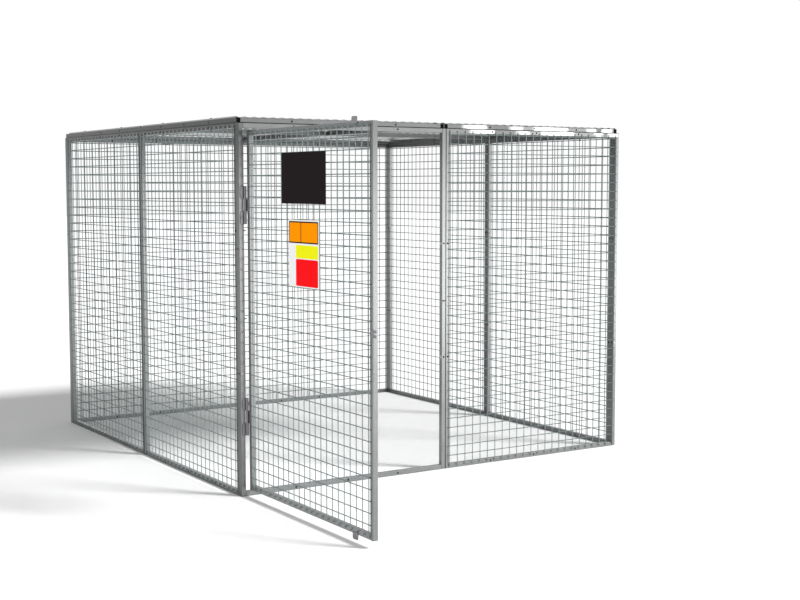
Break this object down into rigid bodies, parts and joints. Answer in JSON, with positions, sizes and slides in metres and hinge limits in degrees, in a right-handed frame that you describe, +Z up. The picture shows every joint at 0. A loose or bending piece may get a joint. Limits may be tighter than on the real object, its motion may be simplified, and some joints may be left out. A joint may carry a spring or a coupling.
{
  "type": "gas cylinder cage",
  "caption": "Walk-in storage cage for gas cylinders: bolted square-tube frames with wire mesh, a ribbed sheet roof and a hinged mesh door that takes a padlock.",
  "frame": {"origin": "centre of the cage's footprint, on the floor", "axes": "+X to the right along the front, +Y from the front to the back, +Z up"},
  "size_m": [2.456, 3.6975, 1.865],
  "materials": {
    "galvanised_tube": "galvanised, satin with bright streaks",
    "galvanised_wire": "galvanised, dull",
    "galvanised_sheet": "galvanised, satin",
    "hinge_steel": "galvanised over a weld, satin",
    "zinc_fasteners": "bright zinc",
    "dark_screws": "dark zinc",
    "black_plastic": "moulded black",
    "black_sign": "black, semi-gloss",
    "white_sign": "white with plain colour fields, semi-gloss"
  },
  "bodies": {
    "cage": {"hinge_side_door_surround": "galvanised_tube", "front_right_frame": "galvanised_tube", "front_right_mesh": "galvanised_wire", "left_front_frame": "galvanised_tube", "left_front_mesh": "galvanised_wire", "left_back_frame": "galvanised_tube", "left_back_mesh": "galvanised_wire", "right_front_frame": "galvanised_tube", "right_front_mesh": "galvanised_wire", "right_back_frame": "galvanised_tube", "right_back_mesh": "galvanised_wire", "back_left_frame": "galvanised_tube", "back_left_mesh": "galvanised_wire", "back_right_frame": "galvanised_tube", "back_right_mesh": "galvanised_wire", "roof_left_frame": "galvanised_tube", "roof_right_frame": "galvanised_tube", "roof_tube_plugs": "black_plastic", "roof_sheet_left_front": "galvanised_sheet", "roof_sheet_left_back": "galvanised_sheet", "roof_sheet_right_front": "galvanised_sheet", "roof_sheet_right_back": "galvanised_sheet", "padlock_lug": "galvanised_tube", "upper_hinge_post_knuckles": "hinge_steel", "upper_hinge_pin": "hinge_steel", "lower_hinge_post_knuckles": "hinge_steel", "lower_hinge_pin": "hinge_steel", "coach_bolts": "zinc_fasteners", "coach_bolt_washers": "zinc_fasteners", "coach_bolt_nuts": "zinc_fasteners", "roof_screws": "dark_screws", "post_screws": "dark_screws"},
    "door": {"door_frame": "galvanised_tube", "door_mesh": "galvanised_wire", "top_stop_tab": "galvanised_tube", "bottom_stop_tab": "galvanised_tube", "lock_fork": "galvanised_tube", "upper_sign_plate": "black_sign", "lower_sign_plate": "white_sign", "upper_hinge_door_knuckle": "hinge_steel", "lower_hinge_door_knuckle": "hinge_steel"}
  },
  "joints": [
    {"name": "door_hinge", "type": "hinge", "parent": "cage", "child": "door", "pos_m": [-1.189, -1.253, 0.915], "axis": [0, 0, 1], "range_deg": [-90, 90]}
  ]
}
